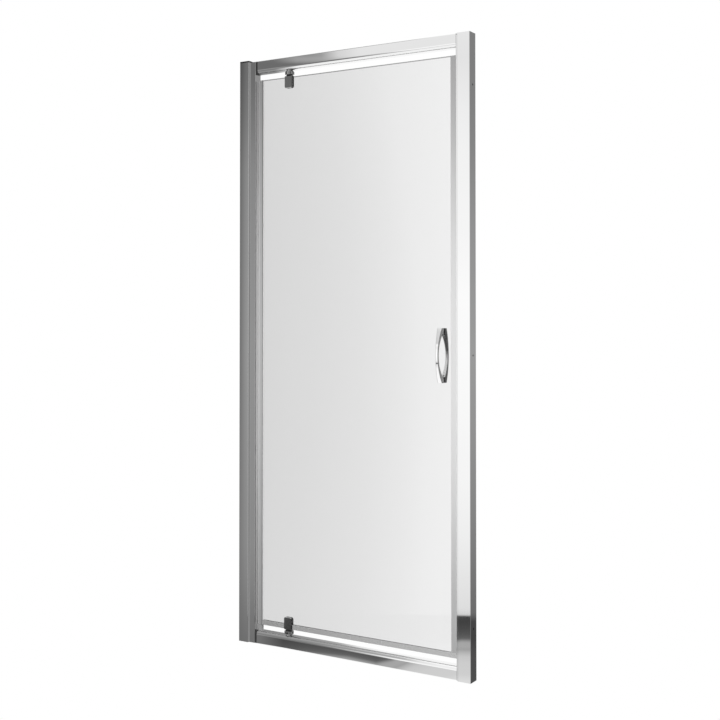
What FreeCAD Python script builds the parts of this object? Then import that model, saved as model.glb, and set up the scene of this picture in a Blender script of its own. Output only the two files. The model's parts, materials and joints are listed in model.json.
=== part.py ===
import FreeCAD, Part
import math
import os

from FreeCAD import Vector

# Framed pivot shower door, in millimetres. X runs along the doorway from the hinge side to the
# latch side, Y from the bathroom into the shower, and Z up. The origin is on the shower tray, in
# the middle of the doorway and of the frame's depth. The door stands closed.

# ---- overall ----
door_width = 820.0          # over both wall profiles
door_height = 1850.0        # tray to the top of the header

# ---- wall profiles: channels screwed to the walls, which the frame slides into ----
wall_depth = 38.0
hinge_wall_reach = 35.5     # wall to the mouth of the hinge-side channel
latch_wall_reach = 41.0     # wall to the mouth of the latch-side channel
wall_web = 2.0
wall_flange = 1.8
lip_length = 3.0            # guide lip inside the mouth
slide_gap = 0.3             # between guide lip and jamb
wall_edge = 1.0             # rounding of the outer edges
wall_hole_r = 2.75          # for the screws into the wall
wall_hole_margin = 150.0    # first and last hole from the ends
hinge_cap_height = 4.5      # this cap stands above the header
latch_cap_height = 3.0      # this one ends level with the header
cap_tongue = 1.6
cap_tongue_width = 28.0
cap_tongue_depth = 8.0
end_gap = 0.5               # between a jamb's top and the cap above it

# ---- frame ----
frame_depth = 27.0          # of jambs and rails
rail_height = 39.5
rail_wall = 1.8
rail_round = 12.0           # front edge beside the doorway
rail_edge = 2.0             # other front edge
small_edge = 0.8
jamb_wall = 1.4
jamb_setback = 12.0         # wall to the jamb's hidden edge
hinge_jamb_width = 46.5
latch_jamb_width = 35.0
jamb_web_inset = 15.0       # the hinge jamb's web from its inner face
end_gasket = 7.5            # between the hinge jamb and the rails
corner_block_length = 19.0
corner_block_front = 2.5
corner_block_back = 9.0

# ---- screws ----
port_r = 3.4                # screw ports inside the rails
port_offset = 9.0
port_low = 8.0
port_high = 17.0
rail_screw_r = 1.6
rail_screw_length = 30.0
rail_head_r = 2.8
rail_head_height = 2.4
driver_hole_r = 2.9         # lets the rail screws and their driver in
screw_gap = 0.1             # around shanks
thread_end_gap = 0.5        # beyond the end of a screw in its threaded hole
fixing_inset = 28.0         # wall to the screws that hold the frame in the channel
fixing_margin = 250.0       # first and last fixing screw from the ends
fixing_screw_r = 2.0
fixing_screw_length = 11.0
fixing_head_r = 3.8
fixing_head_height = 2.2
screw_slot_depth = 0.8
screw_slot_width = 1.0
fixing_nut_size = 6.4
fixing_nut_height = 3.0
slot_end_gap = 0.5
slot_flat = 0.02            # the little that its round ends leave straight
travel_in_hinge = 8.0       # how far the hinge-side channel slides over its jamb
travel_in_latch = 4.0
travel_out = 11.0
cover_r = 6.0               # snap-on covers of the fixing screws
cover_height = 3.4
cover_wall = 0.8
cover_edge = 1.2

# ---- glass ----
glass_thickness = 6.0
glass_gap = 21.0            # glass to rail, above and below
glass_hinge_gap = 13.5      # glass to hinge jamb
glass_latch_gap = 13.5      # glass to latch jamb
glass_corner = 2.0

# ---- seals ----
seal_wall = 1.8
seal_web = 1.3
seal_edge = 0.6
hinge_seal_grip = 11.0      # cover over the glass, on the bathroom side
hinge_seal_rear_grip = 5.0  # and on the shower side
hinge_fin_gap = 1.0         # fin to jamb
hinge_fin_thickness = 1.2
latch_seal_grip = 8.0
latch_seal_gap = 0.8        # door magnet strip to jamb magnet strip
drip_seal_height = 13.5
drip_seal_gap = 0.5         # beside a clamp
magnet_room = 5.6           # hollow of the magnet strips
magnet_gap = 0.2
strip_half = 4.5            # half depth of the jamb's magnet strip
strip_depth = 6.8           # let into the jamb
strip_proud = 2.5           # stands out of the jamb
strip_gap = 0.1
strip_recess_wall = 1.4
stop_lip_thickness = 1.6
stop_lip_reach = 6.5
stop_gap = 0.8              # closed door to stop lip

# ---- pivots ----
pivot_inset = 123.5         # pivot axis from the hinge jamb
pin_r = 3.0
pin_grip = 12.0             # inside the clamp
pin_reach = 22.0            # beyond the clamp
pin_grip_gap = 0.02
pin_chamfer = 0.5
running_gap = 0.05
pin_end_gap = 0.3
boss_height = 14.0          # of the whole housing over the rail
boss_disc_r = 14.7
boss_disc_height = 8.5
boss_foot_r = 9.5
boss_edge = 1.0
bush_flange_r = 10.0
spigot_r = 7.0
bush_wall = 1.95
bush_end = 1.5
housing_floor = 2.0
seat_gap = 0.1              # housing to rail
turning_gap = 0.4           # bush flange to clamp
backing_length = 34.0       # of the threaded plate inside the rail
backing_width = 20.0
backing_height = 7.0

# ---- glass clamps ----
clamp_width = 29.5
clamp_height = 38.5
clamp_thickness = 4.3       # of each plate
clamp_overhang = 3.25       # past the glass edge
clamp_far_round = 6.0
clamp_near_round = 4.0
clamp_bevel = 1.3           # of the front plate's outer edges
clamp_rear_bevel = 3.6
pad_thickness = 1.0
pad_inset = 1.0
bridge_gap = 0.5            # bridge to glass edge
block_width = 12.0          # in the glass notch, around the pin and the screw
block_height = 29.0
block_round = 2.5
notch_gap = 1.0
clamp_screw_inset = 22.0    # from the clamp's pivot end
clamp_screw_r = 3.0
clamp_screw_head_r = 5.4
clamp_screw_head_height = 3.0
clamp_screw_bite = 8.0      # into the front body
clamp_socket = 4.0          # across the corners of its hexagon socket
clamp_socket_depth = 2.5

# ---- handles ----
handle_inset = 38.0         # centre line from the glass edge
handle_height = 923.0
handle_length = 158.0
handle_foot_width = 15.0
handle_waist = 8.0
handle_foot_length = 17.0
handle_foot_out = 13.0      # foot's outer face from the glass
handle_bow_out = 33.0       # bow's outer face from the glass
handle_bow_thickness = 6.5
handle_foot_rise = 4.5      # glass to the start of the finger gap
handle_edge = 1.4
handle_pad = 1.0
handle_pad_inset = 0.5
handle_pad_round = 2.0
handle_bolt_inset = 8.0     # from the handle's end
handle_stud_r = 3.0
handle_stud_bite = 8.0
handle_hole_r = 5.0
sleeve_gap = 0.1
grub_r = 2.0
grub_length = 4.5
grub_out = 7.0              # from the glass

# ---- building ----
overlap = 0.1               # of shapes that are then joined

# ---- places that follow from the sizes ----
x_wall = -door_width / 2
x_hinge_face = x_wall + jamb_setback + hinge_jamb_width
x_latch_face = -x_wall - jamb_setback - latch_jamb_width
x_rail_start = x_hinge_face + end_gasket
x_glass_hinge = x_hinge_face + glass_hinge_gap
x_glass_latch = x_latch_face - glass_latch_gap
x_pivot = x_hinge_face + pivot_inset
x_handle = x_glass_latch - handle_inset
half_frame = frame_depth / 2
half_wall = wall_depth / 2
half_glass = glass_thickness / 2
half_seal = half_glass + seal_wall
z_glass_low = rail_height + glass_gap
z_glass_high = door_height - rail_height - glass_gap
z_seal_low = z_glass_low - seal_web
z_clamp = z_glass_low - clamp_overhang
z_bush_flange = z_clamp - turning_gap
z_boss_tip = rail_height + boss_height
z_pin_end = z_clamp - pin_reach
z_bush_end = z_pin_end - pin_end_gap - bush_end
z_spigot_end = z_bush_end - running_gap - housing_floor
bush_r = pin_r + running_gap + bush_wall
clamp_seat = half_glass + pad_thickness
handle_seat = half_glass + handle_pad
fixing_heights = (fixing_margin, door_height / 2, door_height - fixing_margin)
wall_hole_heights = (wall_hole_margin, door_height / 2, door_height - wall_hole_margin)
ports = ((-port_offset, port_low), (port_offset, port_high))


# ---- small tools ----

def on_plane(axis, level, u, v):
    """The point (u, v) of the plane that lies square to axis at level."""
    if axis == "x":
        return Vector(level, u, v)
    if axis == "y":
        return Vector(u, level, v)
    return Vector(u, v, level)


def outline(corners, axis, level):
    """A closed outline through corners (u, v, radius), each rounded by a tangent arc."""
    points = [on_plane(axis, level, u, v) for u, v, radius in corners]
    bends = []
    for i, here in enumerate(points):
        radius = corners[i][2]
        back = (points[i - 1] - here).normalize()
        ahead = (points[(i + 1) % len(points)] - here).normalize()
        half = back.getAngle(ahead) / 2
        trim = radius / math.tan(half)
        inward = (back + ahead).normalize()
        middle = here + inward * (radius / math.sin(half) - radius)
        bends.append((here + back * trim, middle, here + ahead * trim))
    edges = []
    for i, (start, middle, end) in enumerate(bends):
        if corners[i][2] > 0:
            edges.append(Part.Arc(start, middle, end).toShape())
        edges.append(Part.LineSegment(end, bends[(i + 1) % len(bends)][0]).toShape())
    return Part.Wire(edges)


def prism(corners, axis, low, high):
    """The outline's face drawn out along axis from low to high."""
    way = {"x": Vector(1, 0, 0), "y": Vector(0, 1, 0), "z": Vector(0, 0, 1)}[axis]
    return Part.Face(outline(corners, axis, low)).extrude(way * (high - low))


def rectangle(u0, u1, v0, v1, radius=0.0):
    """Corners of a rectangle, all with one rounding."""
    return [(u0, v0, radius), (u1, v0, radius), (u1, v1, radius), (u0, v1, radius)]


def block(x0, x1, y0, y1, z0, z1):
    """A plain rectangular block between two corners."""
    return Part.makeBox(x1 - x0, y1 - y0, z1 - z0, Vector(x0, y0, z0))


def rod(radius, start, end):
    """A cylinder from start to end."""
    return Part.makeCylinder(radius, (end - start).Length, start, end - start)


def tube(outer, inner, start, end):
    """A hollow cylinder from start to end."""
    return rod(outer, start, end).cut(rod(inner, start, end))


def joined(*shapes):
    """One solid from overlapping shapes, without seams."""
    return shapes[0].fuse(list(shapes[1:])).removeSplitter()


def latch_side(shape):
    """The mirror image across the doorway."""
    return shape.mirror(Vector(0, 0, 0), Vector(1, 0, 0))


def top_end(shape):
    """The mirror image about half the door's height."""
    return shape.mirror(Vector(0, 0, door_height / 2), Vector(0, 0, 1))


def rear_side(shape):
    """The mirror image through the glass."""
    return shape.mirror(Vector(0, 0, 0), Vector(0, 1, 0))


def save(name, *solids):
    """Writes one node, as a single solid or a group of separate ones."""
    shape = solids[0] if len(solids) == 1 else Part.makeCompound(list(solids))
    shape.exportStep("parts/" + name + ".step")
    print("%-26s %2d solids %10.0f mm3" % (name, len(shape.Solids), shape.Volume))


# ---- wall profiles ----

def wall_profile(top, reach):
    """A hinge-side channel, with guide lips, wall screw holes and fixing holes."""
    mouth = x_wall + reach
    inner = half_wall - wall_flange
    lip = half_frame + slide_gap
    shell = prism(rectangle(x_wall, mouth, -half_wall, half_wall, wall_edge), "z", 0, top)
    room = block(x_wall + wall_web, mouth - lip_length, -inner, inner, -1, top + 1)
    way_in = block(mouth - lip_length - 1, mouth + 1, -lip, lip, -1, top + 1)
    channel = shell.cut([room, way_in])
    for z in wall_hole_heights:
        channel = channel.cut(rod(wall_hole_r, Vector(x_wall - 1, 0, z), Vector(x_wall + wall_web + 1, 0, z)))
    for z in fixing_heights:
        x = x_wall + fixing_inset
        hole = rod(fixing_screw_r + screw_gap, Vector(x, 0, z), Vector(x, half_wall + 1, z))
        channel = channel.cut(hole)
    return channel


def wall_cap(top, height, reach):
    """The end cap on the channel, with a tongue down behind the jamb."""
    plate = prism(rectangle(x_wall, x_wall + reach, -half_wall, half_wall, wall_edge), "z", top, top + height)
    tongue_start = x_wall + wall_web + screw_gap
    tongue = block(
        tongue_start, tongue_start + cap_tongue,
        -cap_tongue_width / 2, cap_tongue_width / 2,
        top - cap_tongue_depth, top + height / 2)
    return joined(plate, tongue)


def fixing_screws():
    """Pan-head screws through the channel's rear flange, one at each fixing height."""
    screws = []
    x = x_wall + fixing_inset
    for z in fixing_heights:
        shank = rod(fixing_screw_r, Vector(x, half_wall - fixing_screw_length, z), Vector(x, half_wall + 1, z))
        head = rod(fixing_head_r, Vector(x, half_wall, z), Vector(x, half_wall + fixing_head_height, z))
        top = half_wall + fixing_head_height
        slot = block(x - fixing_head_r, x + fixing_head_r, top - screw_slot_depth, top + 1,
                     z - screw_slot_width / 2, z + screw_slot_width / 2)
        screws.append(joined(shank, head).cut(slot))
    return screws


def fixing_nuts():
    """Square nuts inside the jamb, drawn up by the fixing screws."""
    nuts = []
    x = x_wall + fixing_inset
    half = fixing_nut_size / 2
    back = half_frame - jamb_wall - slide_gap
    for z in fixing_heights:
        front_view = rectangle(x - half, x + half, z - half, z + half, small_edge)
        nut = prism(front_view, "y", back - fixing_nut_height, back)
        nuts.append(nut.cut(rod(fixing_screw_r + running_gap, Vector(x, 0, z), Vector(x, half_wall, z))))
    return nuts


def screw_covers():
    """Round snap covers over the heads of the fixing screws."""
    covers = []
    x = x_wall + fixing_inset
    for z in fixing_heights:
        base = Vector(x, half_wall, z)
        crown = base + Vector(0, cover_height, 0)
        shell = rod(cover_r, base, crown)
        rim = [e for e in shell.Edges if e.BoundBox.YMin > crown.y - 0.01]
        shell = shell.makeFillet(cover_edge, rim)
        hollow = rod(cover_r - cover_wall, base, base + Vector(0, cover_height - cover_wall, 0))
        covers.append(shell.cut(hollow))
    return covers


# ---- frame ----

def rail_corners(grow):
    """Rail section in Y and Z with the threshold's way up, grown or shrunk all round."""
    half = half_frame + grow
    low = -grow
    high = rail_height + grow
    least = 0.3
    return [
        (-half, low, max(rail_edge + grow, least)),
        (half, low, max(small_edge + grow, least)),
        (half, high, max(small_edge + grow, least)),
        (-half, high, max(rail_round + grow, least)),
    ]


def rail():
    """The threshold: a hollow rail with two screw ports and the pivot's hole."""
    tube_body = prism(rail_corners(0), "x", x_rail_start, x_latch_face)
    hollow = prism(rail_corners(-rail_wall), "x", x_rail_start - 1, x_latch_face + 1)
    holes = []
    for y, z in ports:
        start = Vector(x_rail_start, y, z)
        end = Vector(x_latch_face, y, z)
        hollow = hollow.cut(rod(port_r, start, end))
        holes.append(rod(rail_screw_r + running_gap, start - Vector(1, 0, 0), end + Vector(1, 0, 0)))
    pivot_hole = rod(spigot_r + seat_gap, Vector(x_pivot, 0, rail_height - 2 * rail_wall),
                     Vector(x_pivot, 0, rail_height + 1))
    return tube_body.cut([hollow, pivot_hole] + holes)


def rail_end_gasket():
    """The soft plate between the hinge jamb and the threshold's end."""
    plate = prism(rail_corners(0), "x", x_hinge_face, x_rail_start)
    holes = [rod(rail_screw_r + screw_gap, Vector(x_hinge_face - 1, y, z), Vector(x_rail_start + 1, y, z))
             for y, z in ports]
    return plate.cut(holes)


def port_places():
    """Places of the rail screws in Y and Z, at the threshold and at the header."""
    return list(ports) + [(y, door_height - z) for y, z in ports]


def jamb_tube(width, top, travel_in):
    """A jamb's tube, with slots for the fixing screws and holes for rail screws and driver."""
    left = x_wall + jamb_setback
    right = left + width
    inner = half_frame - jamb_wall
    shell = prism(rectangle(left, right, -half_frame, half_frame, small_edge), "z", 0, top)
    hollow = block(left + jamb_wall, right - jamb_wall, -inner, inner, -1, top + 1)
    cuts = [hollow]
    slot_half = fixing_screw_r + slot_end_gap
    x = x_wall + fixing_inset
    for z in fixing_heights:
        slot = rectangle(x - travel_out - slot_half, x + travel_in + slot_half, z - slot_half, z + slot_half,
                         slot_half - slot_flat / 2)
        cuts.append(prism(slot, "y", inner - 1, half_frame + 1))
    for y, z in port_places():
        cuts.append(rod(driver_hole_r, Vector(left - 1, y, z), Vector(left + jamb_wall + 1, y, z)))
        cuts.append(rod(rail_screw_r + screw_gap, Vector(right - jamb_wall - 1, y, z), Vector(right + 1, y, z)))
    return shell.cut(cuts)


def hinge_jamb():
    """The hinge jamb, with a web across it."""
    inner = half_frame - jamb_wall
    top = door_height - end_gap
    web_x = x_hinge_face - jamb_web_inset
    web = block(web_x - jamb_wall, web_x, -inner, inner, 0, top)
    holes = [rod(driver_hole_r, Vector(web_x - jamb_wall - 1, y, z), Vector(web_x + 1, y, z))
             for y, z in port_places()]
    return joined(jamb_tube(hinge_jamb_width, top, travel_in_hinge), web.cut(holes))


def latch_jamb():
    """The latch jamb, with the recess that holds its magnet strip."""
    top = door_height - latch_cap_height - end_gap
    deep = strip_depth + strip_gap
    wide = strip_half + strip_gap
    tube_body = latch_side(jamb_tube(latch_jamb_width, top, travel_in_latch))
    pocket = block(
        x_latch_face, x_latch_face + deep + strip_recess_wall,
        -wide - strip_recess_wall, wide + strip_recess_wall, 0, top)
    recess = block(x_latch_face - 1, x_latch_face + deep, -wide, wide, -1, top + 1)
    return joined(tube_body, pocket).cut(recess)


def rail_screws():
    """Screws through a jamb's inner wall into the ports of one rail, at both jambs."""
    screws = []
    for y, z in ports:
        head_seat = Vector(x_hinge_face - jamb_wall, y, z)
        along = Vector(1, 0, 0)
        shank = rod(rail_screw_r, head_seat - along, head_seat + along * rail_screw_length)
        head = rod(rail_head_r, head_seat - along * rail_head_height, head_seat)
        hinge_screw = joined(shank, head)
        shift = Vector(-x_latch_face - x_hinge_face, 0, 0)
        screws.append(hinge_screw)
        screws.append(latch_side(hinge_screw.translated(shift)))
    return screws


def corner_block():
    """The moulded block that closes the gap under the door beside the hinge jamb."""
    top = z_seal_low - latch_seal_gap
    shape = rectangle(x_hinge_face, x_hinge_face + corner_block_length, -corner_block_front,
                      corner_block_back, small_edge)
    return prism(shape, "z", rail_height, top)


def jamb_magnet_strip():
    """The latch jamb's seal: a carrier in the recess, with a lip that stops the door."""
    top = door_height - latch_cap_height - end_gap
    low = rail_height
    high = door_height - rail_height
    lip_inner = half_seal + stop_gap
    lip_outer = lip_inner + stop_lip_thickness
    face = x_latch_face - strip_proud
    carrier = block(x_latch_face - overlap, x_latch_face + strip_depth, -strip_half, strip_half, low, high)
    flange = block(face, x_latch_face, -lip_inner, lip_outer, low, high)
    lip = block(face - stop_lip_reach, face + overlap, lip_inner, lip_outer, low, high)
    room_start = face + seal_wall
    room = block(room_start, room_start + magnet_room, -magnet_room / 2, magnet_room / 2, low - 1, top)
    return joined(carrier, flange, lip).cut(room)


def magnet(room_start):
    """A magnet bar in the hollow of a magnet strip that starts at room_start."""
    size = magnet_room - 2 * magnet_gap
    return block(
        room_start + magnet_gap, room_start + magnet_gap + size, -size / 2, size / 2,
        rail_height + glass_gap + drip_seal_height, z_glass_high)


# ---- bottom pivot, mirrored for the top one ----

def pivot_housing():
    """A disc on a flared foot that sits over the rail's rounded edge, with a spigot below."""
    disc_low = z_boss_tip - boss_disc_height
    skirt = rail_height - rail_round
    side_view = [
        (0, skirt, 0),
        (boss_foot_r, skirt, 0),
        (boss_foot_r, rail_height, boss_edge),
        (boss_disc_r, disc_low, boss_edge),
        (boss_disc_r, z_boss_tip, boss_edge),
        (0, z_boss_tip, 0),
    ]
    boss = Part.Face(outline(side_view, "y", 0)).revolve(Vector(0, 0, 0), Vector(0, 0, 1), 360)
    boss.translate(Vector(x_pivot, 0, 0))
    reach = 2 * boss_disc_r
    boss = boss.cut(prism(rail_corners(seat_gap), "x", x_pivot - reach, x_pivot + reach))
    spigot = rod(spigot_r, Vector(x_pivot, 0, z_spigot_end), Vector(x_pivot, 0, rail_height + 1))
    bore = rod(bush_r + running_gap, Vector(x_pivot, 0, z_bush_end - running_gap),
               Vector(x_pivot, 0, z_boss_tip + 1))
    return joined(boss, spigot).cut(bore)


def pivot_bush():
    """The bush, closed at its far end, with the flange that shows between boss and clamp."""
    body = rod(bush_r, Vector(x_pivot, 0, z_bush_end), Vector(x_pivot, 0, z_boss_tip + 1))
    flange = rod(bush_flange_r, Vector(x_pivot, 0, z_boss_tip), Vector(x_pivot, 0, z_bush_flange))
    bore = rod(pin_r + running_gap, Vector(x_pivot, 0, z_pin_end - pin_end_gap), Vector(x_pivot, 0, z_clamp))
    return joined(body, flange).cut(bore)


def pivot_backing_plate():
    """The threaded plate inside the rail that draws the housing down, shaped to the rail."""
    half = backing_length / 2
    top = rail_height - rail_wall
    plate = block(x_pivot - half, x_pivot + half, -backing_width / 2, backing_width / 2,
                  top - backing_height, top)
    plate = plate.common(prism(rail_corners(-rail_wall - seat_gap), "x", x_pivot - half, x_pivot + half))
    return plate.cut(rod(spigot_r + running_gap, Vector(x_pivot, 0, 0), Vector(x_pivot, 0, top + 1)))


def pivot_pin():
    """The pin, held in the clamp's block and turning in the bush."""
    pin = rod(pin_r, Vector(x_pivot, 0, z_pin_end), Vector(x_pivot, 0, z_clamp + pin_grip))
    ends = [e for e in pin.Edges if abs(e.BoundBox.ZLength) < 0.01]
    return pin.makeChamfer(pin_chamfer, ends)


# ---- bottom clamp, mirrored for the top one ----

def clamp_corners(inset):
    """The clamp's front view, drawn in by inset."""
    half = clamp_width / 2 - inset
    near = clamp_near_round - inset
    far = clamp_far_round - inset
    low = z_clamp + inset
    high = z_clamp + clamp_height - inset
    return [
        (x_pivot - half, low, near),
        (x_pivot + half, low, near),
        (x_pivot + half, high, far),
        (x_pivot - half, high, far),
    ]


def bevelled_plate(bevel):
    """A clamp plate on the bathroom side, with its outer edges bevelled."""
    front = -clamp_seat - clamp_thickness
    plate = prism(clamp_corners(0), "y", front, -clamp_seat)
    edges = [e for e in plate.Edges if e.BoundBox.YMax < front + 0.01]
    return plate.makeChamfer(bevel, edges)


def clamp_screw_place(y):
    """The point on the clamp screw's axis at depth y."""
    return Vector(x_pivot, y, z_clamp + clamp_screw_inset)


def clamp_front_body():
    """The front plate, the bridge past the glass edge, and the block that holds pin and screw."""
    half = clamp_width / 2
    bridge = block(x_pivot - half, x_pivot + half, -clamp_seat - 1, clamp_seat,
                   z_clamp, z_glass_low - bridge_gap)
    half_block = block_width / 2
    holder = prism(
        rectangle(x_pivot - half_block, x_pivot + half_block, z_clamp, z_clamp + block_height, block_round),
        "y", -clamp_seat - 1, clamp_seat)
    side_trim = prism(clamp_corners(0), "y", -clamp_seat - 1, clamp_seat)
    body = joined(bevelled_plate(clamp_bevel), bridge.common(side_trim), holder.common(side_trim))
    pin_bore = rod(pin_r + pin_grip_gap, Vector(x_pivot, 0, z_clamp - 1),
                   Vector(x_pivot, 0, z_clamp + pin_grip + pin_end_gap))
    hole_end = clamp_seat - clamp_screw_bite - thread_end_gap
    screw_hole = rod(clamp_screw_r + running_gap, clamp_screw_place(hole_end), clamp_screw_place(clamp_seat + 1))
    return body.cut([pin_bore, screw_hole])


def clamp_rear_plate():
    """The plate on the shower side, with the countersunk hole of the clamp screw."""
    rear = clamp_seat + clamp_thickness
    screw_way = rod(clamp_screw_r + screw_gap, clamp_screw_place(0), clamp_screw_place(rear + 1))
    head_way = Part.makeCone(
        clamp_screw_r + screw_gap, clamp_screw_head_r + screw_gap, clamp_screw_head_height,
        clamp_screw_place(rear - clamp_screw_head_height), Vector(0, 1, 0))
    return rear_side(bevelled_plate(clamp_rear_bevel)).cut([screw_way, head_way])


def clamp_pads():
    """The two rubber pads between clamp and glass."""
    opening = block(
        x_pivot - block_width / 2 - notch_gap, x_pivot + block_width / 2 + notch_gap,
        -clamp_seat, -half_glass, z_clamp, z_clamp + block_height + notch_gap)
    low_trim = block(x_pivot - clamp_width, x_pivot + clamp_width, -clamp_seat, -half_glass,
                     z_clamp - 1, z_glass_low + bridge_gap)
    pad = prism(clamp_corners(pad_inset), "y", -clamp_seat, -half_glass).cut([opening, low_trim])
    return [pad, rear_side(pad)]


def clamp_screw():
    """The countersunk screw from the shower side into the front body."""
    rear = clamp_seat + clamp_thickness
    shank = rod(clamp_screw_r, clamp_screw_place(clamp_seat - clamp_screw_bite), clamp_screw_place(rear - 1))
    head = Part.makeCone(
        clamp_screw_r, clamp_screw_head_r, clamp_screw_head_height,
        clamp_screw_place(rear - clamp_screw_head_height), Vector(0, 1, 0))
    socket_corners = []
    for i in range(6):
        turn = math.radians(60 * i)
        across = clamp_socket / 2 * math.cos(turn)
        up = clamp_socket / 2 * math.sin(turn)
        socket_corners.append((x_pivot + across, clamp_screw_place(0).z + up, 0))
    socket = prism(socket_corners, "y", rear - clamp_socket_depth, rear + 1)
    return joined(shank, head).cut(socket)


# ---- door panel ----

def glass_panel():
    """The toughened pane, with a notch for each clamp and two handle holes."""
    pane = prism(
        rectangle(x_glass_hinge, x_glass_latch, z_glass_low, z_glass_high, glass_corner),
        "y", -half_glass, half_glass)
    notch_half = block_width / 2 + notch_gap
    notch_top = z_clamp + block_height + notch_gap
    notch = prism(
        rectangle(x_pivot - notch_half, x_pivot + notch_half, z_glass_low - notch_half, notch_top,
                  block_round + notch_gap),
        "y", -half_glass - 1, half_glass + 1)
    cuts = [notch, top_end(notch)]
    for z in handle_bolt_heights():
        start = Vector(x_handle, -half_glass - 1, z)
        cuts.append(rod(handle_hole_r, start, Vector(x_handle, half_glass + 1, z)))
    return pane.cut(cuts)


def hinge_edge_seal():
    """The seal gripped on the glass beside the hinge jamb, with its fin towards the jamb."""
    web_start = x_glass_hinge - seal_web
    grip_end = x_glass_hinge + hinge_seal_grip
    fin_tip = x_hinge_face + hinge_fin_gap
    body = block(web_start, grip_end, -half_seal, half_seal, z_seal_low, z_glass_high)
    slit = block(x_glass_hinge, grip_end + 1, -half_glass, half_glass, z_glass_low, z_glass_high + 1)
    beyond_rear_arm = block(x_glass_hinge + hinge_seal_rear_grip, grip_end + 1, half_glass, half_seal + 1,
                            z_seal_low - 1, z_glass_high + 1)
    fin = block(fin_tip, web_start + overlap, half_glass - hinge_fin_thickness, half_glass,
                z_seal_low, z_glass_high)
    return joined(body, fin).cut([slit, beyond_rear_arm])


def x_door_magnet_room():
    """Where the hollow of the door's magnet strip starts."""
    strip_end = x_latch_face - strip_proud - latch_seal_gap
    return strip_end - seal_wall / 2 - magnet_room


def latch_magnet_seal():
    """The strip gripped on the glass beside the latch jamb, with a hollow for its magnet."""
    low = z_glass_low + drip_seal_height
    strip_end = x_latch_face - strip_proud - latch_seal_gap
    grip_start = x_glass_latch - latch_seal_grip
    body = prism(rectangle(grip_start, strip_end, -half_seal, half_seal, seal_edge), "z", low, z_glass_high)
    slit = block(grip_start - 1, x_glass_latch, -half_glass, half_glass, low - 1, z_glass_high + 1)
    start = x_door_magnet_room()
    room = block(start, start + magnet_room, -magnet_room / 2, magnet_room / 2, low - 1, z_glass_high + 1)
    return body.cut([slit, room])


def drip_seal():
    """The seal along the bottom edge, in two lengths that end beside the clamp."""
    hinge_start = x_glass_hinge + hinge_seal_grip
    latch_end = x_latch_face - strip_proud - latch_seal_gap
    clamp_half = clamp_width / 2 + drip_seal_gap
    top = z_glass_low + drip_seal_height
    lengths = []
    for start, end in ((hinge_start, x_pivot - clamp_half), (x_pivot + clamp_half, latch_end)):
        body = block(start, end, -half_seal, half_seal, z_seal_low, top)
        slit = block(start - 1, min(end + 1, x_glass_latch), -half_glass, half_glass, z_glass_low, top + 1)
        lengths.append(body.cut(slit))
    return lengths


# ---- handles ----

def handle_bolt_heights():
    """Heights of the two handle holes."""
    reach = handle_length / 2 - handle_bolt_inset
    return [handle_height - reach, handle_height + reach]


def handle_side_face():
    """The bow's side view, at the handle's left side."""
    half = handle_length / 2
    gap_half = half - handle_foot_length
    left = x_handle - handle_foot_width / 2
    foot_out = half_glass + handle_foot_out
    bow_out = half_glass + handle_bow_out
    bow_in = bow_out - handle_bow_thickness
    rise = half_glass + handle_foot_rise

    def at(out, along):
        return Vector(left, -out, handle_height + along)

    straight = [
        (at(handle_seat, -half), at(foot_out, -half)),
        (at(foot_out, half), at(handle_seat, half)),
        (at(handle_seat, half), at(handle_seat, gap_half)),
        (at(handle_seat, gap_half), at(rise, gap_half)),
        (at(rise, -gap_half), at(handle_seat, -gap_half)),
        (at(handle_seat, -gap_half), at(handle_seat, -half)),
    ]
    edges = [Part.LineSegment(a, b).toShape() for a, b in straight]
    edges.insert(1, Part.Arc(at(foot_out, -half), at(bow_out, 0), at(foot_out, half)).toShape())
    edges.insert(5, Part.Arc(at(rise, gap_half), at(bow_in, 0), at(rise, -gap_half)).toShape())
    return Part.Face(Part.Wire(edges))


def handle_front_view():
    """The bow seen from the front, narrow at mid height."""
    half = handle_length / 2
    wide = handle_foot_width / 2
    narrow = handle_waist / 2

    def at(across, along):
        return Vector(x_handle + across, -half_glass - handle_bow_out - 1, handle_height + along)

    edges = [
        Part.LineSegment(at(-wide, -half), at(wide, -half)).toShape(),
        Part.Arc(at(wide, -half), at(narrow, 0), at(wide, half)).toShape(),
        Part.LineSegment(at(wide, half), at(-wide, half)).toShape(),
        Part.Arc(at(-wide, half), at(-narrow, 0), at(-wide, -half)).toShape(),
    ]
    return Part.Face(Part.Wire(edges)).extrude(Vector(0, handle_bow_out + 2, 0))


def handle_bow():
    """The bathroom-side bow handle, with a blind threaded hole in each foot."""
    side = handle_side_face().extrude(Vector(handle_foot_width, 0, 0))
    bow = side.common(handle_front_view())
    long_edges = [e for e in bow.Edges if e.BoundBox.ZLength > handle_length / 2]
    bow = bow.makeFillet(handle_edge, long_edges)
    holes = []
    for z in handle_bolt_heights():
        end = Vector(x_handle, -handle_seat - handle_stud_bite - thread_end_gap, z)
        holes.append(rod(handle_stud_r + running_gap, end, Vector(x_handle, 0, z)))
    return bow.cut(holes)


def grub_rods(radius, length):
    """Rods from each stud towards the finger gap, in the rear handle's feet."""
    rods = []
    for z in handle_bolt_heights():
        towards = 1 if z < handle_height else -1
        start = Vector(x_handle, half_glass + grub_out, z + towards * (handle_stud_r + screw_gap))
        rods.append(rod(radius, start, start + Vector(0, 0, towards * length)))
    return rods


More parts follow.
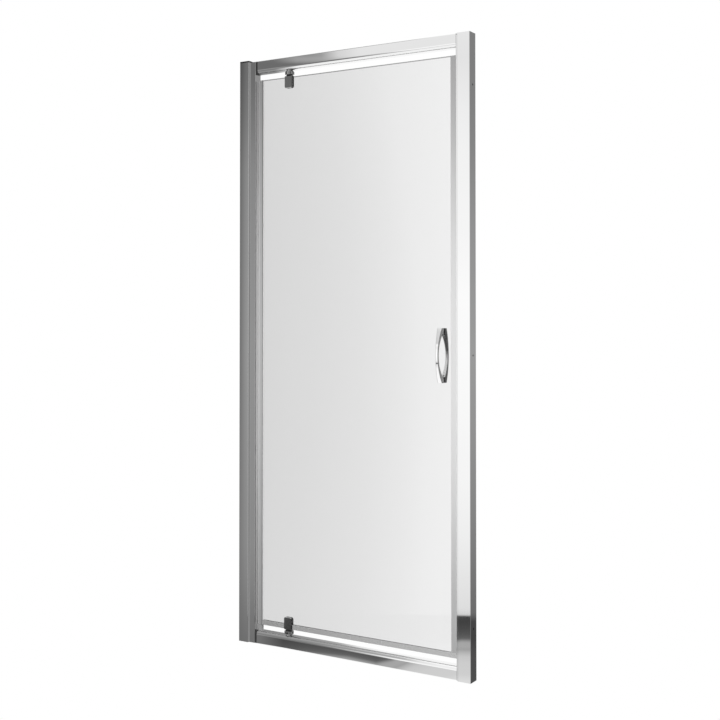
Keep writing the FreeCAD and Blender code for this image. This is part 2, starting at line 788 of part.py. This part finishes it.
def handle_pads():
    """The four soft pads between the handles' feet and the glass."""
    pads = []
    half = handle_foot_width / 2 - handle_pad_inset
    half_length = handle_foot_length / 2 - handle_pad_inset
    foot_middle = handle_length / 2 - handle_foot_length / 2
    for z in (handle_height - foot_middle, handle_height + foot_middle):
        pad = prism(
            rectangle(x_handle - half, x_handle + half, z - half_length, z + half_length, handle_pad_round),
            "y", -handle_seat, -half_glass)
        bolt_z = min(handle_bolt_heights(), key=lambda height: abs(height - z))
        start = Vector(x_handle, -handle_seat - 1, bolt_z)
        pad = pad.cut(rod(handle_hole_r, start, Vector(x_handle, 0, bolt_z)))
        pads.append(pad)
        pads.append(rear_side(pad))
    return pads


def handle_studs():
    """The two threaded studs that join the handles through the glass."""
    reach = handle_seat + handle_stud_bite
    return [rod(handle_stud_r, Vector(x_handle, -reach, z), Vector(x_handle, reach, z))
            for z in handle_bolt_heights()]


def handle_sleeves():
    """The sleeves around the studs in the glass."""
    return [tube(handle_hole_r - sleeve_gap, handle_stud_r + screw_gap,
                 Vector(x_handle, -half_glass, z), Vector(x_handle, half_glass, z))
            for z in handle_bolt_heights()]


# ---- the whole door ----

def save_wall_profiles():
    """Both channels with their caps, fixing screws, nuts and covers."""
    latch_top = door_height - latch_cap_height
    save("hinge_wall_profile", wall_profile(door_height, hinge_wall_reach))
    save("latch_wall_profile", latch_side(wall_profile(latch_top, latch_wall_reach)))
    save("hinge_wall_profile_cap", wall_cap(door_height, hinge_cap_height, hinge_wall_reach))
    save("latch_wall_profile_cap", latch_side(wall_cap(latch_top, latch_cap_height, latch_wall_reach)))
    for name, solids in (
            ("fixing_screws", fixing_screws()),
            ("fixing_nuts", fixing_nuts()),
            ("screw_covers", screw_covers())):
        save("hinge_" + name, *solids)
        save("latch_" + name, *[latch_side(s) for s in solids])


def save_frame():
    """Jambs, rails and what is fixed to them."""
    save("hinge_jamb", hinge_jamb())
    save("latch_jamb", latch_jamb())
    save("threshold_rail", rail())
    save("header_rail", top_end(rail()))
    save("threshold_end_gasket", rail_end_gasket())
    save("header_end_gasket", top_end(rail_end_gasket()))
    screws = rail_screws()
    save("rail_screws", *(screws + [top_end(s) for s in screws]))
    save("corner_block", corner_block())
    save("jamb_magnet_strip", jamb_magnet_strip())
    save("jamb_magnet", magnet(x_latch_face - strip_proud + seal_wall))
    for name, solid in (("pivot_housing", pivot_housing()), ("pivot_bush", pivot_bush())):
        save("bottom_" + name, solid)
        save("top_" + name, top_end(solid))
    save("pivot_backing_plates", pivot_backing_plate(), top_end(pivot_backing_plate()))


def save_door():
    """The glass with its clamps, pins, seals and handles."""
    save("glass_panel", glass_panel())
    for name, solids in (
            ("clamp_front_body", [clamp_front_body()]),
            ("clamp_rear_plate", [clamp_rear_plate()]),
            ("clamp_pads", clamp_pads()),
            ("pivot_pin", [pivot_pin()])):
        save("bottom_" + name, *solids)
        save("top_" + name, *[top_end(s) for s in solids])
    save("clamp_screws", clamp_screw(), top_end(clamp_screw()))
    save("hinge_edge_seal", hinge_edge_seal())
    save("latch_magnet_seal", latch_magnet_seal())
    save("door_magnet", magnet(x_door_magnet_room()))
    save("drip_seal", *drip_seal())
    save("front_handle", handle_bow())
    save("rear_handle", rear_side(handle_bow()).cut(grub_rods(grub_r + running_gap, handle_foot_length)))
    save("handle_grub_screws", *grub_rods(grub_r, grub_length))
    save("handle_pads", *handle_pads())
    save("handle_studs", *handle_studs())
    save("handle_sleeves", *handle_sleeves())


os.makedirs("parts", exist_ok=True)
save_wall_profiles()
save_frame()
save_door()
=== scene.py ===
import json
import math

import bpy
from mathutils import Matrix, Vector

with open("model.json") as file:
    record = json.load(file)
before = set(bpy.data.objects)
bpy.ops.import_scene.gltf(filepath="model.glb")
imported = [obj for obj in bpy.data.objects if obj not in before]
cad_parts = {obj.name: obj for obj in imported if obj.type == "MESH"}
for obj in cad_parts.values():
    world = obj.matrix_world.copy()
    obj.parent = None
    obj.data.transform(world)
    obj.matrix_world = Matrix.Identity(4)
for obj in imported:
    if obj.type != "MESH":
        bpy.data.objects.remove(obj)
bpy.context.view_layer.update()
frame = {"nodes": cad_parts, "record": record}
nodes = frame["nodes"]

# ---- camera, solved from the photograph's corners (metres, degrees, lens in millimetres) ----
CAMERA_PLACE = (1.851, -2.965, 1.048)
CAMERA_PITCH = 1.06
CAMERA_YAW = 31.53
CAMERA_LENS = 57.52
CAMERA_SHIFT = -0.0958
SENSOR_WIDTH = 36
VIEW_REACH = 200


def make_camera():
    """The photograph's viewpoint."""
    data = bpy.data.cameras.new("camera")
    data.sensor_width = SENSOR_WIDTH
    data.lens = CAMERA_LENS
    data.shift_y = CAMERA_SHIFT
    data.clip_end = VIEW_REACH
    camera = bpy.data.objects.new("camera", data)
    camera.location = CAMERA_PLACE
    camera.rotation_euler = (math.radians(90 + CAMERA_PITCH), 0, math.radians(CAMERA_YAW))
    bpy.context.scene.collection.objects.link(camera)
    bpy.context.scene.camera = camera


# ---- node helpers ----

class Graph:
    """Short calls for adding nodes to one node tree."""

    def __init__(self, tree):
        self.tree = tree
        tree.nodes.clear()

    def add(self, kind, **inputs):
        """A new node, with its inputs set or linked by name."""
        node = self.tree.nodes.new(kind)
        for name, value in inputs.items():
            self.feed(node, name.replace("_", " "), value)
        return node

    def feed(self, node, name, value):
        """Links a socket to a node's input, or sets the input's value."""
        place = int(name) if name.isdigit() else name
        if isinstance(value, bpy.types.NodeSocket):
            self.tree.links.new(value, node.inputs[place])
        else:
            node.inputs[place].default_value = value

    def math(self, operation, first, second=0.0, third=0.0):
        """The result of one operation on up to three numbers."""
        node = self.tree.nodes.new("ShaderNodeMath")
        node.operation = operation
        for i, value in enumerate((first, second, third)):
            self.feed(node, str(i), value)
        return node.outputs[0]

    def vary(self, value, spread, base):
        """The base, raised by value times spread."""
        return self.math("MULTIPLY_ADD", value, spread, base)

    def ramp(self, value, stops):
        """A brightness that follows value through (value, brightness) stops."""
        node = self.tree.nodes.new("ShaderNodeValToRGB")
        elements = node.color_ramp.elements
        while len(elements) < len(stops):
            elements.new(0.5)
        low = stops[0][0]
        reach = stops[-1][0] - low
        for element, (stop, tone) in zip(elements, stops):
            element.position = (stop - low) / reach
            element.color = (tone, tone, tone, 1)
        self.feed(node, "0", self.vary(value, 1 / reach, -low / reach))
        return node.outputs[0]

    def mix(self, share, first, second):
        """Numbers or greys mixed by share."""
        node = self.tree.nodes.new("ShaderNodeMix")
        node.data_type = "FLOAT"
        self.feed(node, "0", share)
        self.feed(node, "2", first)
        self.feed(node, "3", second)
        return node.outputs[0]

    def parts(self, source):
        """The X, Y and Z parts of one of the texture coordinates."""
        split = self.add("ShaderNodeSeparateXYZ")
        self.feed(split, "0", self.add("ShaderNodeTexCoord").outputs[source])
        return split.outputs


def new_material(name):
    """A material with its graph, an output and a Principled shader."""
    material = bpy.data.materials.new(name)
    material.use_nodes = True
    graph = Graph(material.node_tree)
    shader = graph.add("ShaderNodeBsdfPrincipled")
    output = graph.add("ShaderNodeOutputMaterial")
    material.node_tree.links.new(shader.outputs[0], output.inputs[0])
    return material, graph, shader


def noise(graph, scale, stretch=(1, 1, 1), detail=2.0):
    """Fractal noise of the object's own space, stretched by stretch along each axis."""
    mapping = graph.add("ShaderNodeMapping", Scale=stretch)
    graph.feed(mapping, "Vector", graph.add("ShaderNodeTexCoord").outputs["Object"])
    node = graph.add("ShaderNodeTexNoise", Scale=scale, Detail=detail)
    graph.feed(node, "Vector", mapping.outputs[0])
    return node.outputs[0]


def bump(graph, shader, height, strength, distance):
    """Fine relief on a shader."""
    node = graph.add("ShaderNodeBump", Strength=strength, Distance=distance, Height=height)
    graph.feed(shader, "Normal", node.outputs[0])


# ---- materials: tones from 0 to 1, patterns per metre, and how far these change tone and gloss ----
# The tones that change over clamps and handles stand for reflections, painted by the surface's direction.
ALUMINIUM_TONE = 0.80
ALUMINIUM_ROUGHNESS = 0.01
DIE_LINES = 900
DIE_LINE_STRETCH = 0.004
BUFFING = 160
GRIME = 1200
PLATING_SPREAD = 0.03
PLATING_ROUGHNESS = 0.03
PLATING_ROUGHNESS_SPREAD = 0.04
SEAL_LINES = 700
SEAL_LINE_STRETCH = 0.01
GLASS_TONE = 0.738
# Places are shares of the pane's height: its last 0.15% stands for the ground edge.
GLASS_EDGE = [(0.9984, 1.0), (0.9986, 0.4), (1.0, 0.4)]
# Painted light across the seal, from its hinge-side edge (0): a painted highlight on the fin, painted shade
# in the groove, the plain body, a painted dark line of shade, and a painted highlight on the latch-side
# edge (1).
HINGE_SEAL_PAINTED_LIGHT = [
    (0, 1.3), (0.32, 1.3), (0.36, 0.7), (0.46, 0.7), (0.5, 1), (0.82, 1),
    (0.84, 0.3), (0.93, 0.3), (0.95, 1.4), (1, 1.4)]
ALONG_X = 0
ALONG_Z = 2


def grey(graph, tone):
    """A grey colour from one tone."""
    return graph.add("ShaderNodeCombineColor", Red=tone, Green=tone, Blue=tone).outputs[0]


def make_metal(graph, shader, tone, roughness):
    """Turns a shader into bare metal of a grey tone."""
    graph.feed(shader, "Base Color", grey(graph, tone))
    shader.inputs["Metallic"].default_value = 1.0
    graph.feed(shader, "Roughness", roughness)


def extruded_metal(name, along):
    """Bright anodised aluminium with faint die lines along the extrusion."""
    material, graph, shader = new_material(name)
    stretch = [1.0, 1.0, 1.0]
    stretch[along] = DIE_LINE_STRETCH
    lines = noise(graph, DIE_LINES, stretch, detail=3)
    cloud = noise(graph, 5)
    spread = 0.02
    shade = graph.vary(cloud, spread, graph.vary(lines, spread, ALUMINIUM_TONE - spread))
    make_metal(graph, shader, shade, graph.vary(lines, 0.01, ALUMINIUM_ROUGHNESS))
    return material


def polished_metal(name, tone, roughness):
    """Polished plating with the slight waviness of a buffed casting."""
    material, graph, shader = new_material(name)
    wave = noise(graph, BUFFING)
    grime = noise(graph, GRIME, detail=3)
    shade = graph.vary(wave, PLATING_SPREAD, tone)
    make_metal(graph, shader, shade, graph.vary(grime, PLATING_ROUGHNESS_SPREAD, roughness))
    bump(graph, shader, wave, strength=0.02, distance=0.0003)
    return material


def toned_plating(graph, shader, plating):
    """Polished plating whose tone changes over the surface: painted light and shade that stand for
    reflections.
    """
    wave = noise(graph, BUFFING)
    roughness = graph.vary(wave, PLATING_ROUGHNESS_SPREAD, PLATING_ROUGHNESS)
    make_metal(graph, shader, graph.vary(wave, PLATING_SPREAD, plating), roughness)


def clamp_metal(name):
    """Polished plating of a glass clamp, with painted shade on its sides and their bevels that stands for
    dark reflections.
    """
    material, graph, shader = new_material(name)
    sideways = graph.math("ABSOLUTE", graph.parts("Normal")[0])
    # Painted shade: the tone falls from 0.62 to 0.14 as the surface turns sideways.
    toned_plating(graph, shader, graph.ramp(sideways, [(0.3, 0.62), (0.6, 0.14)]))
    return material


def handle_metal(name, outward):
    """Polished plating of a handle, with a painted bright reflection on the outer face and painted
    shade round the sides.

    The finger side has painted shade where it looks down and a painted highlight where it looks
    up. outward is the outer face's direction along Y, 1 or -1.
    """
    material, graph, shader = new_material(name)
    facing = graph.parts("Normal")
    out = graph.math("MULTIPLY", facing[1], outward)
    outer_painted_reflection = graph.ramp(out, [(0.3, 0.24), (0.75, 0.86)])
    finger_painted_light = graph.ramp(facing[2], [(-0.15, 0.1), (0.15, 0.85)])
    inward = graph.ramp(out, [(-0.75, 1), (-0.3, 0)])
    toned_plating(graph, shader, graph.mix(inward, outer_painted_reflection, finger_painted_light))
    return material


def glass_material():
    """Clear toughened glass with a grey cast, and its ground top edge as a fine grey line."""
    material, graph, shader = new_material("clear_glass")
    cloud = noise(graph, 2)
    ground = graph.ramp(graph.parts("Generated")[2], GLASS_EDGE)
    cast = graph.math("MULTIPLY", ground, graph.vary(cloud, 0.004, GLASS_TONE))
    graph.feed(shader, "Base Color", grey(graph, cast))
    shader.inputs["Roughness"].default_value = 0.0
    shader.inputs["IOR"].default_value = 1.5
    shader.inputs["Specular IOR Level"].default_value = 0.2
    shader.inputs["Transmission Weight"].default_value = 1.0
    return material


def vinyl(name, tone, sheen, roughness, painted_light_stops=None):
    """Soft extruded seal with a waxy gloss and fine lines along its length.

    Where given, the last argument holds (place, tone) stops across the seal: painted highlights and
    painted shade that multiply its tone.
    """
    material, graph, shader = new_material(name)
    lines = noise(graph, SEAL_LINES, (1, 1, SEAL_LINE_STRETCH))
    shade = graph.vary(lines, 0.04, tone - 0.02)
    # Painted highlights and painted shade across the seal, where given.
    if painted_light_stops:
        shade = graph.math("MULTIPLY", shade, graph.ramp(graph.parts("Generated")[0], painted_light_stops))
    graph.feed(shader, "Base Color", grey(graph, shade))
    shader.inputs["Metallic"].default_value = sheen
    graph.feed(shader, "Roughness", graph.vary(lines, 0.1, roughness))
    return material


def moulded(name, rgb, roughness, grain):
    """Moulded plastic or rubber with a fine grain."""
    material, graph, shader = new_material(name)
    speck = noise(graph, grain, detail=4)
    shade = graph.vary(speck, 0.3, 0.85)
    color = graph.add("ShaderNodeCombineColor")
    for channel, value in zip(("Red", "Green", "Blue"), rgb):
        graph.feed(color, channel, graph.math("MULTIPLY", shade, value))
    graph.feed(shader, "Base Color", color.outputs[0])
    graph.feed(shader, "Roughness", graph.vary(speck, 0.15, roughness))
    bump(graph, shader, speck, strength=0.1, distance=0.0002)
    return material


def dress_nodes():
    """Gives every CAD node the material of what it is made of."""
    level = extruded_metal("bright_aluminium_level", ALONG_X)
    by_node = {
        "threshold_rail": level,
        "header_rail": level,
        # The hinge seal carries painted highlights and painted shade across its width.
        "hinge_edge_seal": vinyl("hinge_vinyl", 0.64, sheen=0.1, roughness=0.25, painted_light_stops=HINGE_SEAL_PAINTED_LIGHT),
        "drip_seal": vinyl("drip_vinyl", 0.73, sheen=0.8, roughness=0.2),
        "front_handle": handle_metal("front_handle_chrome", outward=-1),
        "rear_handle": handle_metal("rear_handle_chrome", outward=1),
    }
    for end in ("top_", "bottom_"):
        for piece in ("clamp_front_body", "clamp_rear_plate"):
            by_node[end + piece] = clamp_metal(end + piece)
        housing = end + "pivot_housing"
        # The pivot housings' plating, at half the chrome's tone, is painted shade that stands for their
        # darker reflections.
        by_node[housing] = polished_metal(housing, tone=0.40, roughness=PLATING_ROUGHNESS)
    by_slot = {
        "anodised_aluminium": extruded_metal("bright_aluminium_upright", ALONG_Z),
        "chrome": polished_metal("chrome", tone=0.80, roughness=PLATING_ROUGHNESS),
        "clear_glass": glass_material(),
        "clear_vinyl": vinyl("clear_vinyl", 0.65, sheen=0.27, roughness=0.25),
        "grey_vinyl": vinyl("grey_vinyl", 0.72, sheen=0.4, roughness=0.3),
        "black_plastic": moulded("black_plastic", (0.03, 0.03, 0.03), roughness=0.4, grain=1500),
        "grey_plastic": moulded("grey_plastic", (0.5, 0.51, 0.52), roughness=0.4, grain=1500),
        "black_rubber": moulded("black_rubber", (0.07, 0.07, 0.07), roughness=0.6, grain=1800),
        "magnet_bar": moulded("magnet_bar", (0.08, 0.07, 0.07), roughness=0.6, grain=1500),
        "stainless_steel": polished_metal("stainless_steel", tone=0.60, roughness=0.22),
        "white_nylon": moulded("white_nylon", (0.8, 0.8, 0.78), roughness=0.4, grain=1500),
    }
    for part in frame["record"]["subparts"]:
        node = nodes[part["node"]]
        material = by_node.get(node.name, by_slot[part["material_slot"]])
        for slot in node.material_slots:
            slot.material = material


# ---- studio ----
# A direction is told by x, its share to the right, y, its share to the back, and rise, its degrees
# above the horizon. Stops are (direction, brightness) pairs, most of them set after readings
# of the photograph's tones. The back wall's are made up.
FLOOR_REACH = 40
WHITE_BEHIND = 1.1
DIFFUSE_GLOW = 0.2


def make_floor():
    """A plain pale floor that only the camera sees: metal, glass and diffuse light pass it by."""
    mesh = bpy.data.meshes.new("floor")
    corners = [(x * FLOOR_REACH, y * FLOOR_REACH, 0) for x, y in ((-1, -1), (1, -1), (1, 1), (-1, 1))]
    mesh.from_pydata(corners, [], [(0, 1, 2, 3)])
    floor = bpy.data.objects.new("floor", mesh)
    bpy.context.scene.collection.objects.link(floor)
    floor.visible_glossy = False
    floor.visible_transmission = False
    floor.visible_diffuse = False
    material, _, shader = new_material("floor")
    shader.inputs["Base Color"].default_value = (0, 0, 0, 1)
    shader.inputs["Specular IOR Level"].default_value = 0.0
    shader.inputs["Emission Color"].default_value = (1, 1, 1, 1)
    shader.inputs["Emission Strength"].default_value = 1.0
    mesh.materials.append(material)


def back_wall(graph, rise):
    """The soft greys that a wall behind gives to faces turned away from the photograph's view."""
    return graph.ramp(rise, [
        (-60, 0.5), (-25, 0.34), (-14, 0.3), (-6, 0.45), (2, 0.66), (5, 0.68),
        (14, 0.5), (40, 0.6), (80, 1)])


def left_panel(graph, rise, bearing):
    """The greys of the left, with an upright dark fold that fades low down."""
    left = graph.ramp(rise, [
        (-40, 0.33), (-25, 0.25), (-15.7, 0.2), (-14.2, 0.24), (-12.9, 0.28), (-11.4, 0.31), (-2, 0.35),
        (1, 0.34), (7, 0.30), (10, 0.22), (12, 0.18), (20, 0.30), (35, 0.34), (58, 0.42), (62, 1.0)])
    fold = graph.ramp(bearing, [
        (-0.635, 1), (-0.612, 0.6), (-0.6084, 0.6), (-0.6067, 0.785), (-0.605, 0.985), (-0.6035, 1.09),
        (-0.6028, 1.09), (-0.6022, 1)])
    fade = graph.ramp(rise, [(-16, 0.85), (-14, 0.6), (-9, 0.3), (-3, 0)])
    return graph.math("MULTIPLY", left, graph.mix(fade, fold, 1.0))


def front_panel(graph, x, rise, ahead, high_up):
    """The bright panel ahead, with a dark shelf low down and a soft dark edge at its left.

    Behind, the directions that the rails mirror stay white, and between and right of them is the back wall.
    """
    above = graph.ramp(rise, [
        (-14.6, 0.80), (-14.5, 0.86), (-14.3, 0.91), (-13.6, 0.95), (-11, 1.07), (-8, 1.14),
        (-2, 1.2), (1, 1.2), (4, 1.14), (8, 1.11), (10, 1.06), (12.5, 0.96), (13.5, 0.98),
        (16, 1.1), (35, 1.05), (60, 1.2)])
    tilted = graph.math("MULTIPLY_ADD", rise, 0.0012, x)
    edge = graph.ramp(tilted, [(-0.525, 0.19), (-0.502, 0.48), (-0.494, 0.6), (-0.478, 1.0)])
    edge = graph.mix(high_up, edge, 1.0)

    sink = graph.ramp(x, [
        (-0.54, 0.6), (-0.509, 0.83), (-0.489, 1.1), (-0.478, 0.95), (-0.462, 0.5), (-0.43, 0)])
    below = graph.ramp(graph.math("ADD", rise, sink), [
        (-25, 1.1), (-17.6, 0.88), (-17.3, 0.77), (-16.8, 0.76), (-16.5, 0.70), (-16.36, 0.59),
        (-16.28, 0.53), (-16.2, 0.43), (-16.05, 0.48), (-15.86, 0.46), (-15.77, 0.30),
        (-15.69, 0.15), (-15.5, 0.11), (-15.2, 0.08), (-14.9, 0.064)])
    over_shelf = graph.ramp(rise, [(-14.68, 0), (-14.6, 1)])
    panel = graph.mix(over_shelf, below, graph.math("MULTIPLY", above, edge))
    middle = graph.ramp(x, [(-0.38, 1.0), (-0.3, 0.6), (0.2, 0.5)])

    right_of_rails = graph.ramp(x, [(-0.42, 0), (-0.36, 1)])
    between_rails = graph.ramp(rise, [(-11.5, 0), (-10.5, 1), (14, 1), (15, 0)])
    aside = graph.math("MAXIMUM", right_of_rails, between_rails)
    behind = graph.mix(aside, WHITE_BEHIND, back_wall(graph, rise))
    return graph.mix(ahead, behind, graph.math("MULTIPLY", panel, middle))


def right_panel(graph, x, rise, ahead):
    """The greys of the right, with a dark stand ahead of them and the back wall's greys beyond."""
    rear = graph.ramp(rise, [
        (-40, 0.2), (-17.2, 0.09), (-16.2, 0.09), (-15.9, 0.065), (-14.9, 0.072), (-14.7, 0.13),
        (-14.6, 0.18), (-13.6, 0.2), (-11, 0.26), (-6, 0.35), (-2, 0.40), (4, 0.35), (8, 0.29),
        (11, 0.26), (14, 0.25), (40, 0.6), (62, 1.0)])
    rear = graph.math("MULTIPLY", rear, graph.ramp(x, [(0.46, 1.0), (0.58, 1.3)]))
    stand = graph.ramp(x, [(0.2, 0.5), (0.62, 0.4), (0.72, 0.1), (0.84, 0.1)])
    beyond = graph.ramp(x, [(0.84, 0), (0.88, 1)])
    return graph.mix(beyond, graph.mix(ahead, rear, stand), back_wall(graph, rise))


def front_share(graph, x, rise, high_up):
    """How much of the front panel shows beside the left's greys, with an edge that leans high up."""
    near_edge = graph.ramp(x, [(-0.572, 0), (-0.556, 1)])
    lean = graph.ramp(rise, [(13, 0), (15.7, 0.018), (20, 0.068)])
    high_edge = graph.ramp(graph.math("SUBTRACT", x, lean), [
        (-0.6, 0), (-0.573, 0.1), (-0.545, 0.22), (-0.538, 0.3), (-0.526, 0.8), (-0.51, 1)])
    return graph.mix(high_up, near_edge, high_edge)


def make_world():
    """A soft studio, white to the eye, with the panels that bright metal mirrors."""
    world = bpy.data.worlds.new("studio")
    bpy.context.scene.world = world
    world.use_nodes = True
    graph = Graph(world.node_tree)
    x, y, z = graph.parts("Generated")
    slope = graph.math("ARCSINE", z)
    rise = graph.math("DEGREES", slope)
    bearing = graph.math("DIVIDE", x, graph.math("COSINE", slope))
    ahead = graph.ramp(y, [(-0.05, 1), (0.05, 0)])
    high_up = graph.ramp(rise, [(12.2, 0), (12.6, 1)])
    to_right = graph.ramp(x, [(0.2, 0), (0.4, 1)])

    seen = graph.mix(
        front_share(graph, x, rise, high_up), left_panel(graph, rise, bearing),
        front_panel(graph, x, rise, ahead, high_up))
    seen = graph.mix(to_right, seen, right_panel(graph, x, rise, ahead))

    backdrop = graph.ramp(x, [(-0.595, 0.93), (-0.45, 1.16)])
    light_path = graph.add("ShaderNodeLightPath")
    glow = graph.mix(light_path.outputs["Is Diffuse Ray"], seen, DIFFUSE_GLOW)
    glow = graph.mix(light_path.outputs["Is Transmission Ray"], glow, backdrop)
    glow = graph.mix(light_path.outputs["Is Camera Ray"], glow, 1.0)
    background = graph.add("ShaderNodeBackground", Strength=1.0)
    graph.feed(background, "Color", glow)
    output = graph.add("ShaderNodeOutputWorld")
    graph.feed(output, "0", background.outputs[0])


def make_light(name, stands_at, target, size, power):
    """A large soft light aimed at target, hidden from the camera, metal and glass."""
    data = bpy.data.lights.new(name, "AREA")
    data.shape = "RECTANGLE"
    data.size, data.size_y = size
    data.energy = power
    light = bpy.data.objects.new(name, data)
    light.location = stands_at
    direction = Vector(target) - Vector(stands_at)
    light.rotation_euler = direction.to_track_quat("-Z", "Y").to_euler()
    light.visible_camera = False
    light.visible_glossy = False
    light.visible_transmission = False
    bpy.context.scene.collection.objects.link(light)


bpy.context.scene.view_settings.view_transform = "Standard"
make_camera()
dress_nodes()
make_floor()
make_world()
make_light("key", stands_at=(0.2, -0.7, 0.9), target=(0.2, 0, 0.9), size=(0.8, 1.2), power=8)
make_light("rear", stands_at=(0.1, 1.6, 1.2), target=(0.1, 0, 1.0), size=(1.6, 0.6), power=12)
